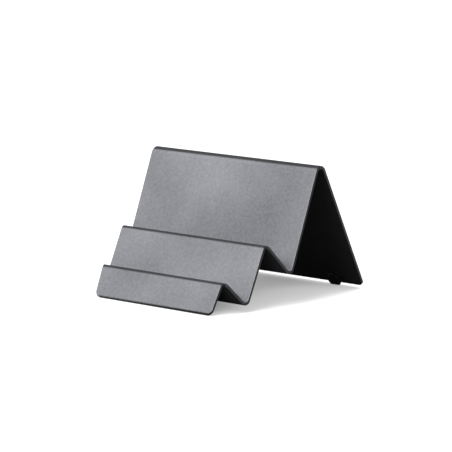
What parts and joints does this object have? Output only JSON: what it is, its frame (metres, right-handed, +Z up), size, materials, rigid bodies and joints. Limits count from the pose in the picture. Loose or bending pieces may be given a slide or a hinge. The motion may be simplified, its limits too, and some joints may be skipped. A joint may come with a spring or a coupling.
{
  "type": "business card holder stand",
  "caption": "Desk stand for business cards: one metal strip folded into a low front lip, stepped card slots and a long back leg on round rubber feet.",
  "frame": {"origin": "on the table, under the middle of the bounding box", "axes": "+X across the stand to the right as a reader faces it, +Y from the lip to the back leg, +Z up"},
  "size_m": [0.1, 0.0972, 0.0628],
  "materials": {
    "coated_steel": "fine-grained satin powder coat, dark graphite",
    "foot_rubber": "matt black",
    "adhesive_film": "thin acrylic film"
  },
  "bodies": {
    "root": {"folded_stand": "coated_steel", "rear_foot_right": "foot_rubber", "rear_foot_left": "foot_rubber", "foot_adhesive_right": "adhesive_film", "foot_adhesive_left": "adhesive_film"}
  },
  "joints": []
}
